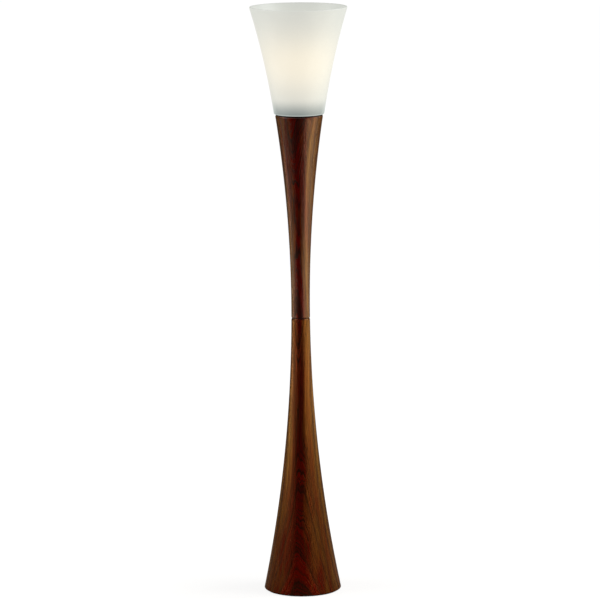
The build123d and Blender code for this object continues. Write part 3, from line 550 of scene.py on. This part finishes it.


# Opal glass, whose glow is painted light for the bulb's light through the wall: heights above the shade's
# lower end where the painted glow starts and is full, and where the wall's painted lit lip is full and
# ends; how far from the bulb's centre the glow stays warm; sizes in millimetres of the milk's clouds and of
# the etching
GLOW_START, GLOW_FULL = -2 * MM, 45 * MM
LIP_FULL, LIP_END = 1 * MM, 3 * MM
GLOW_REACH = 82 * MM
MILK_SIZE, ETCH_SIZE = (38, 60), (1.2, 1.2)
ETCH_RELIEF = 0.05
# Colours of the painted glow: warm in front of the bulb and plain elsewhere, with a painted bluish shade
# near the floor and painted light at the edges and lip
WARM_GLOW, PLAIN_GLOW = "#f2e9d6", "#cbccc6"
PAINTED_FLOOR_SHADE, PAINTED_EDGE_LIGHT = "#788180", "#b4bcba"
OPAL = "#8d9492"
# Shares of the painted glow that the inner face gives and that is warm where the wall is seen at a slant
INNER_GLOW, SLANT_GLOW = 0.79, 0.4


def satin_opal_glass():
    """Blown opal glass, etched satin outside, lit by the bulb within.

    The bulb's light through the milky glass is painted on as an emitted glow, warm and brightest in front
    of the bulb, which fades near the floor, where the socket and the seat keep the light away. There a
    painted bluish shade is left, with painted light at the lip and edges for the light that the wall leads
    there. The inner face, which sends most of its light on through the wall, has less painted glow.
    """
    material, tree, place = new_material("satin_opal_glass")
    height = add(tree, "SeparateXYZ", {0: place}).outputs["Z"]
    slant = add(tree, "LayerWeight", {"Blend": 0.5}).outputs["Facing"]
    rise = add(
        tree,
        "MapRange",
        {"Value": height, "From Min": shade_low.z + GLOW_START, "From Max": shade_low.z + GLOW_FULL},
        interpolation_type="SMOOTHSTEP",
    ).outputs[0]

    # Painted glow, warm in front of the bulb: exp(-square of the height from its centre, as a share of the
    # reach)
    offset = add(tree, "Math", {0: height, 1: -bulb_centre}, operation="ADD").outputs[0]
    offset = add(tree, "Math", {0: offset, 1: 1 / GLOW_REACH}, operation="MULTIPLY").outputs[0]
    square = add(tree, "Math", {0: offset, 1: offset}, operation="MULTIPLY").outputs[0]
    fade = add(tree, "Math", {0: square, 1: -1.0}, operation="MULTIPLY").outputs[0]
    near = add(tree, "Math", {0: fade}, operation="EXPONENT").outputs[0]
    straight = add(tree, "MapRange", {"Value": slant, "To Min": 1.0, "To Max": SLANT_GLOW}).outputs[0]
    near = add(tree, "Math", {0: near, 1: straight}, operation="MULTIPLY").outputs[0]
    glow = add(
        tree, "Mix", {0: near, 6: linear(PLAIN_GLOW), 7: linear(WARM_GLOW)}, data_type="RGBA"
    ).outputs[2]

    # Painted shade, bluish, near the floor, and painted light at the lip and where the wall is seen along
    # its length
    edge = add(tree, "MapRange", {"Value": slant, "From Min": 0.48, "From Max": 0.9}).outputs[0]
    lip = add(
        tree,
        "MapRange",
        {"Value": height, "From Min": shade_low.z + LIP_END, "From Max": shade_low.z + LIP_FULL},
    ).outputs[0]
    painted_edge_mask = add(tree, "Math", {0: edge, 1: lip}, operation="MAXIMUM").outputs[0]
    painted_shade_and_edges = add(
        tree, "Mix", {0: painted_edge_mask, 6: linear(PAINTED_FLOOR_SHADE), 7: linear(PAINTED_EDGE_LIGHT)}, data_type="RGBA"
    ).outputs[2]
    glow = add(tree, "Mix", {0: rise, 6: painted_shade_and_edges, 7: glow}, data_type="RGBA").outputs[2]

    # Painted shade: less glow on the inner face, which points to the axis, and a little cloudy
    outward = add(tree, "VectorMath", {0: place, 1: (1, 1, 0)}, operation="MULTIPLY").outputs[0]
    outward = add(tree, "VectorMath", {0: outward}, operation="NORMALIZE").outputs[0]
    facing = place.node.outputs["Normal"]
    facing = add(tree, "VectorMath", {0: facing, 1: outward}, operation="DOT_PRODUCT").outputs["Value"]
    facing = add(
        tree, "MapRange", {"Value": facing, "From Min": 0.1, "From Max": 0.7, "To Min": INNER_GLOW}
    ).outputs[0]
    milk = add(tree, "Mapping", {"Vector": place, "Scale": per(*MILK_SIZE)}).outputs[0]
    milk = add(tree, "TexNoise", {"Vector": milk, "Scale": 1.0, "Detail": 2.0}).outputs["Fac"]
    milk = add(tree, "MapRange", {"Value": milk, "To Min": 0.97, "To Max": 1.03}).outputs[0]
    share = add(tree, "Math", {0: facing, 1: milk}, operation="MULTIPLY").outputs[0]
    glow = add(tree, "VectorMath", {0: glow, "Scale": share}, operation="SCALE").outputs[0]

    etch = add(tree, "Mapping", {"Vector": place, "Scale": per(*ETCH_SIZE)}).outputs[0]
    etch = add(tree, "TexNoise", {"Vector": etch, "Scale": 1.0, "Detail": 2.0}).outputs["Fac"]
    gloss = add(tree, "MapRange", {"Value": etch, "To Min": 0.42, "To Max": 0.54}).outputs[0]
    normal = add(tree, "Bump", {"Height": etch, "Strength": 0.2, "Distance": ETCH_RELIEF * MM}).outputs[0]
    shader = add(
        tree,
        "BsdfPrincipled",
        {
            "Base Color": linear(OPAL),
            "Roughness": gloss,
            "Normal": normal,
            "IOR": 1.5,
            "Emission Color": glow,
            "Emission Strength": 1.0,
        },
    ).outputs[0]
    add(tree, "OutputMaterial", {"Surface": shader})
    return material


# Felt: sizes in millimetres of its clumps and hairs, and the hairs' relief
CLUMP_SIZE, HAIR_SIZE = (4, 4), (0.9, 0.9)
HAIR_RELIEF = 0.4
DARK_FELT, PALE_FELT = "#141313", "#2c2a29"


def pressed_felt():
    """Black wool felt, pressed and die cut: matted fibres that scatter light softly, with no gloss."""
    material, tree, place = new_material("pressed_wool_felt")
    clump = add(tree, "Mapping", {"Vector": place, "Scale": per(*CLUMP_SIZE)}).outputs[0]
    clump = add(tree, "TexNoise", {"Vector": clump, "Scale": 1.0, "Detail": 6.0}).outputs["Fac"]
    hair = add(tree, "Mapping", {"Vector": place, "Scale": per(*HAIR_SIZE)}).outputs[0]
    hair = add(
        tree, "TexNoise", {"Vector": hair, "Scale": 1.0, "Detail": 3.0, "Distortion": 2.5}
    ).outputs["Fac"]
    colour = add(
        tree, "Mix", {0: clump, 6: linear(DARK_FELT), 7: linear(PALE_FELT)}, data_type="RGBA"
    ).outputs[2]
    normal = add(tree, "Bump", {"Height": hair, "Strength": 0.8, "Distance": HAIR_RELIEF * MM}).outputs[0]
    shader = add(
        tree,
        "BsdfPrincipled",
        {
            "Base Color": colour,
            "Roughness": 1.0,
            "Specular IOR Level": 0.1,
            "Normal": normal,
            "Sheen Weight": 0.4,
            "Sheen Roughness": 0.6,
        },
    ).outputs[0]
    add(tree, "OutputMaterial", {"Surface": shader})
    return material


# How many grains wide the clouds in a small part's finish are
CLOUD_GRAINS = 6


def finish(name, tones, grain, gloss, relief, **sockets):
    """Small part's finish: two tones, gloss and relief that vary with a grain of (across, along) in mm.

    Broader clouds of the same pattern lie over the grain. The gloss is a range of roughness, the relief the
    depth of the grain in millimetres, and sockets are the shader's own constant values.
    """
    material, tree, place = new_material(name)
    fine = add(tree, "Mapping", {"Vector": place, "Scale": per(*grain)}).outputs[0]
    fine = add(tree, "TexNoise", {"Vector": fine, "Scale": 1.0, "Detail": 4.0}).outputs["Fac"]
    cloud = per(CLOUD_GRAINS * grain[0], CLOUD_GRAINS * grain[1])
    broad = add(tree, "Mapping", {"Vector": place, "Scale": cloud}).outputs[0]
    broad = add(tree, "TexNoise", {"Vector": broad, "Scale": 1.0, "Detail": 3.0}).outputs["Fac"]
    both = add(tree, "Math", {0: fine, 1: broad}, operation="ADD").outputs[0]
    both = add(tree, "MapRange", {"Value": both, "From Min": 0.7, "From Max": 1.3}).outputs[0]
    colour = add(
        tree, "Mix", {0: both, 6: linear(tones[0]), 7: linear(tones[1])}, data_type="RGBA"
    ).outputs[2]
    rough = add(tree, "MapRange", {"Value": both, "To Min": gloss[0], "To Max": gloss[1]}).outputs[0]
    normal = add(tree, "Bump", {"Height": fine, "Strength": 0.5, "Distance": relief * MM}).outputs[0]
    values = {
        socket.replace("_", " ").title().replace("Ior", "IOR"): value for socket, value in sockets.items()
    }
    shader = add(
        tree, "BsdfPrincipled", {"Base Color": colour, "Roughness": rough, "Normal": normal, **values}
    ).outputs[0]
    add(tree, "OutputMaterial", {"Surface": shader})
    return material


# Steel under black powder coat: a deep black with the coat's fine orange peel
powder_coat = finish("powder_coated_steel", ("#0b0b0b", "#151514"), (1.1, 1.1), (0.42, 0.55), 0.03)
# Zinc-plated steel: a bluish bright grey, cloudy where the plating varies
zinc_plate = finish(
    "zinc_plated_steel", ("#8e9093", "#b9bbbc"), (1.6, 1.6), (0.28, 0.44), 0.02, metallic=1.0
)
# Cast iron as cast: dull dark grey with the sand's grit
cast_iron = finish("sand_cast_iron", ("#2a2a2b", "#444445"), (1.4, 1.4), (0.6, 0.8), 0.25, metallic=0.6)
# Vulcanised fibre, punched: dense matt black board with a trace of fibres
fibre_board = finish("vulcanised_fibre", ("#0d0b0a", "#1d1916"), (0.5, 0.5), (0.6, 0.75), 0.03)
# Moulded rubber: matt black with a faint bloom
rubber = finish("moulded_rubber", ("#0b0b0b", "#191919"), (0.8, 0.8), (0.65, 0.85), 0.03)
# Moulded nylon: black with a low sheen from the mould's spark texture
black_nylon = finish("moulded_black_nylon", ("#0d0d0e", "#191a1b"), (0.7, 0.7), (0.38, 0.5), 0.03)
# Moulded nylon, natural: milky white with a low sheen
white_nylon = finish("moulded_white_nylon", ("#d6d3ca", "#e6e3db"), (0.7, 0.7), (0.4, 0.52), 0.02)
# Extruded insulation: smooth plastic with a soft gloss along the lead
black_lead = finish("extruded_black_insulation", ("#0e0e0e", "#1a1a1a"), (0.6, 9), (0.3, 0.42), 0.01)
white_lead = finish("extruded_white_insulation", ("#dcdad4", "#e8e6e1"), (0.6, 9), (0.3, 0.42), 0.01)
# Glazed porcelain: warm white with a wet gloss and the glaze's slow ripple
porcelain = finish("glazed_porcelain", ("#e2ded2", "#efece3"), (3, 3), (0.08, 0.16), 0.02)
# Rolled brass: yellow metal, slightly tarnished in clouds
brass = finish("rolled_brass", ("#b08a45", "#d0a85c"), (1.5, 1.5), (0.22, 0.36), 0.01, metallic=1.0)
# Frosted bulb glass, lit: the frost spreads the filament's light over the whole globe
bulb_glass = finish(
    "frosted_bulb_glass",
    ("#6f6b63", "#7d786f"),
    (2, 2),
    (0.4, 0.5),
    0.01,
    emission_color=linear("#ffe6c0"),
    emission_strength=0.8,
)
# Clear lead glass, pressed: glassy with a grey edge
stem_glass = finish(
    "pressed_lead_glass",
    ("#eef2f2", "#f8fbfb"),
    (2, 2),
    (0.04, 0.08),
    0.01,
    transmission_weight=1.0,
    ior=1.55,
)
# Rolled aluminium: pale soft-gloss metal with rolling clouds
aluminium = finish("rolled_aluminium", ("#b4b5b4", "#cfd0cf"), (1.2, 1.2), (0.28, 0.4), 0.01, metallic=1.0)
# Black vitrite: moulded glass between the cap and its tip
vitrite = finish("moulded_vitrite", ("#070708", "#101012"), (1.5, 1.5), (0.1, 0.2), 0.02)
# Solder: grey metal set from a drop, with a dull skin
solder = finish("set_solder", ("#8b8c8e", "#b4b5b6"), (0.9, 0.9), (0.3, 0.5), 0.04, metallic=1.0)
# Drawn nickel and tungsten wire: dark grey metal
wire = finish("drawn_wire", ("#5a5957", "#77756f"), (0.4, 4), (0.3, 0.45), 0.01, metallic=1.0)

node_finish = {
    powder_coat: ["shade_holder"],
    zinc_plate: [
        "lower_tube", "upper_tube", "tube_coupler", "lower_nut", "seam_nut", "upper_nut", "weight_washer",
        "lock_washer", "base_cover", "cover_screws", "socket_bracket", "bracket_screws",
    ],
    cast_iron: ["base_weight"],
    fibre_board: ["seam_washer"],
    rubber: ["shade_gasket"],
    black_nylon: ["cord_inlet", "inlet_nut"],
    white_nylon: ["tube_bushing", "lead_caps"],
    black_lead: ["live_lead"],
    white_lead: ["neutral_lead"],
    porcelain: ["socket_body"],
    brass: ["socket_shell", "socket_contact", "terminal_screws"],
    bulb_glass: ["bulb_globe"],
    stem_glass: ["bulb_stem"],
    aluminium: ["bulb_cap"],
    vitrite: ["bulb_insulator"],
    solder: ["bulb_contact"],
    wire: ["bulb_supports", "bulb_filament"],
}
for material, names in node_finish.items():
    for name in names:
        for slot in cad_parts[name].material_slots:
            slot.material = material

# Pieces in place of their plain CAD solids. Each half's pith lies behind the column, outside the blank, so
# its arches and its painted red shade face the front, and its painted golden light lies on the sides to the
# left and right
lower_wood = stained_walnut(
    "stained_walnut_lower",
    pith=(15 * MM, 119 * MM, 0),
    lean=(radians(-4.4), radians(1.0), 0),
    seed=3.0,
    golden_from=0.3,
    lacquer="#ffd88a",
    gleam=0.36,
    gloss_level=0.7,
)
upper_wood = stained_walnut(
    "stained_walnut_upper",
    pith=(27 * MM, 117 * MM, 950 * MM),
    lean=(radians(4.0), radians(-0.8), 0),
    seed=11.0,
    golden_from=0.48,
    lacquer="#fff2e4",
    gleam=0.17,
    gloss_level=0.68,
)
felt = make_felt()
pieces = [
    (make_lower_column(), lower_wood, "lower_column", "stand", "walnut_wood"),
    (make_upper_column(), upper_wood, "upper_column", "stand", "walnut_wood"),
    (make_shade(), satin_opal_glass(), "glass_shade", "shade", "opal_glass"),
    (felt, pressed_felt(), "base_felt", "stand", "black_felt"),
]
for piece, material, node, body, slot in pieces:
    piece.data.materials.clear()
    piece.data.materials.append(material)
    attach(piece, body)
    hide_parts(node)

# Studio, in metres: a floor of white paper, dark in front of the lamp so that the lacquer mirrors no glare.
# As surfaces mirror it, the white behind the lamp has a small strength and grows towards the back.
FLOOR_HALF = 30.0
PAPER, PAPER_IN_FRONT = "#8c8c8c", "#101010"
PAPER_DARK_AT, PAPER_LIGHT_AT = -1.2, -0.4
MIRRORED_WHITE = 0.03
WHITE_FROM, WHITE_FULL_AT = -0.8, 0.3
# The paper's own light, which holds the shadow, makes up the rest of the white near the lamp
WHITE_NEAR_LAMP = 0.86
NEAR_LAMP, FAR_FROM_LAMP = 0.15, 0.9
# Strength of the room's light on surfaces, and as they mirror it
ROOM_FILL, MIRRORED_ROOM = 0.09, 0.015
LIGHT_AIM = 0.74
CAMERA_DISTANCE = 9.5
CAMERA_HEIGHT = 2.32
CAMERA_AIM = (-1.4 * MM, 0, 738.7 * MM)
CAMERA_LENS = 231.2
CAMERA_SENSOR = 36.0
CAMERA_ROLL = radians(-0.46)
VIEW_END = 100.0
# Name, azimuth in degrees, distance, height, width and length in metres, radiance and colour of each light:
# strips low at the sides draw the long gleams on the wood, and softboxes above light its edges and the
# floor
SOFTBOXES = [
    ("right_strip", 69, 1.2, 0.62, 1.8, 0.52, 2.1, "#fff0d2"),
    ("right_low_strip", 124, 1.2, 0.4, 0.8, 0.36, 0.9, "#fff0d2"),
    ("left_strip", -102, 1.2, 0.56, 0.28, 0.4, 4.0, "#fff5e2"),
    ("left_low_strip", -76, 1.2, 0.39, 1.4, 0.28, 1.65, "#fff0d2"),
    ("high_right_softbox", 88, 2.0, 2.4, 1.6, 1.2, 5.2, "#ffffff"),
    ("high_left_softbox", -82, 2.0, 2.4, 1.2, 1.2, 3.8, "#ffffff"),
]


def ray_masks(tree):
    """Two masks: 1 for camera rays, and 1 for glossy or transmission rays, which mirror the background."""
    rays = add(tree, "LightPath").outputs
    mirrored = add(
        tree, "Math", {0: rays["Is Glossy Ray"], 1: rays["Is Transmission Ray"]}, operation="MAXIMUM"
    ).outputs[0]
    return rays["Is Camera Ray"], mirrored


def make_floor():
    """Pale floor that reads as white to the camera and still takes the lamp's soft shadow."""
    corners = np.array([(-1, -1, 0), (1, -1, 0), (1, 1, 0), (-1, 1, 0)]) * FLOOR_HALF
    floor = mesh_piece("floor", corners, np.array([[0, 1, 2, 3]]))
    material, tree, place = new_material("white_paper_sweep")
    camera, mirrored = ray_masks(tree)
    place_y = add(tree, "SeparateXYZ", {0: place}).outputs["Y"]
    behind = add(
        tree,
        "MapRange",
        {"Value": place_y, "From Min": WHITE_FROM, "From Max": WHITE_FULL_AT, "To Max": MIRRORED_WHITE},
        interpolation_type="SMOOTHSTEP",
    ).outputs[0]
    mirrored = add(tree, "Math", {0: mirrored, 1: behind}, operation="MULTIPLY").outputs[0]
    white = add(tree, "Math", {0: camera, 1: mirrored}, operation="MAXIMUM").outputs[0]
    far = add(tree, "VectorMath", {0: place}, operation="LENGTH").outputs["Value"]
    share = add(
        tree,
        "MapRange",
        {"Value": far, "From Min": NEAR_LAMP, "From Max": FAR_FROM_LAMP, "To Min": WHITE_NEAR_LAMP},
        interpolation_type="SMOOTHSTEP",
    ).outputs[0]
    share = add(tree, "Math", {0: share, 1: white}, operation="MULTIPLY").outputs[0]
    lit = add(
        tree,
        "MapRange",
        {"Value": place_y, "From Min": PAPER_DARK_AT, "From Max": PAPER_LIGHT_AT},
        interpolation_type="SMOOTHSTEP",
    ).outputs[0]
    paper = add(
        tree, "Mix", {0: lit, 6: linear(PAPER_IN_FRONT), 7: linear(PAPER)}, data_type="RGBA"
    ).outputs[2]
    paper = add(tree, "BsdfDiffuse", {"Color": paper}).outputs[0]
    bright = add(tree, "Emission", {"Color": (1, 1, 1, 1), "Strength": share}).outputs[0]
    both = add(tree, "AddShader", {0: paper, 1: bright}).outputs[0]
    add(tree, "OutputMaterial", {"Surface": both})
    floor.data.materials.append(material)


def make_world():
    """White studio behind the lamp, dark room in front of it, and a little light from all around."""
    world = bpy.data.worlds.new("studio")
    world.use_nodes = True
    bpy.context.scene.world = world
    tree = world.node_tree
    tree.nodes.clear()
    camera, mirrored = ray_masks(tree)
    direction = add(tree, "SeparateXYZ", {0: add(tree, "TexCoord").outputs["Generated"]}).outputs["Y"]
    behind = add(
        tree,
        "MapRange",
        {"Value": direction, "From Min": 0.0, "From Max": 0.8, "To Max": MIRRORED_WHITE},
        interpolation_type="SMOOTHSTEP",
    ).outputs[0]
    direct = add(tree, "Math", {0: camera, 1: mirrored}, operation="MAXIMUM").outputs[0]
    fill = add(tree, "MapRange", {"Value": direct, "To Min": ROOM_FILL, "To Max": MIRRORED_ROOM}).outputs[0]
    mirrored = add(tree, "Math", {0: mirrored, 1: behind}, operation="MULTIPLY").outputs[0]
    white = add(tree, "Math", {0: camera, 1: mirrored}, operation="MAXIMUM").outputs[0]
    strength = add(tree, "Math", {0: fill, 1: white}, operation="MAXIMUM").outputs[0]
    light = add(tree, "Background", {"Color": (1, 1, 1, 1), "Strength": strength}).outputs[0]
    add(tree, "OutputWorld", {"Surface": light})


def make_softbox(name, azimuth, distance, height, width, tall, radiance, glow):
    """Soft light that faces the middle of the lamp, at an azimuth counted from the front towards the right.

    Its power is radiance * pi * area, so that its face looks as bright as the radiance says at any size.
    """
    data = bpy.data.lights.new(name, "AREA")
    data.shape, data.size, data.size_y = "RECTANGLE", width, tall
    data.energy = radiance * pi * width * tall
    data.color = linear(glow)[:3]
    softbox = bpy.data.objects.new(name, data)
    bpy.context.scene.collection.objects.link(softbox)
    turn = radians(azimuth)
    softbox.location = (distance * sin(turn), -distance * cos(turn), height)
    look = Vector((0, 0, LIGHT_AIM)) - softbox.location
    softbox.rotation_euler = look.to_track_quat("-Z", "Y").to_euler()
    softbox.visible_camera = False


def make_camera():
    """Long lens from well back and a little above the lamp, with the slight roll of the picture."""
    data = bpy.data.cameras.new("camera")
    data.lens, data.sensor_width, data.clip_end = CAMERA_LENS, CAMERA_SENSOR, VIEW_END
    camera = bpy.data.objects.new("camera", data)
    bpy.context.scene.collection.objects.link(camera)
    place = Vector((0, -CAMERA_DISTANCE, CAMERA_HEIGHT))
    look = (Vector(CAMERA_AIM) - place).to_track_quat("-Z", "Y").to_matrix().to_4x4()
    camera.matrix_world = Matrix.Translation(place) @ look @ Matrix.Rotation(CAMERA_ROLL, 4, "Z")
    bpy.context.scene.camera = camera


make_floor()
make_world()
for softbox in SOFTBOXES:
    make_softbox(*softbox)
make_camera()
bpy.context.scene.view_settings.view_transform = "Standard"
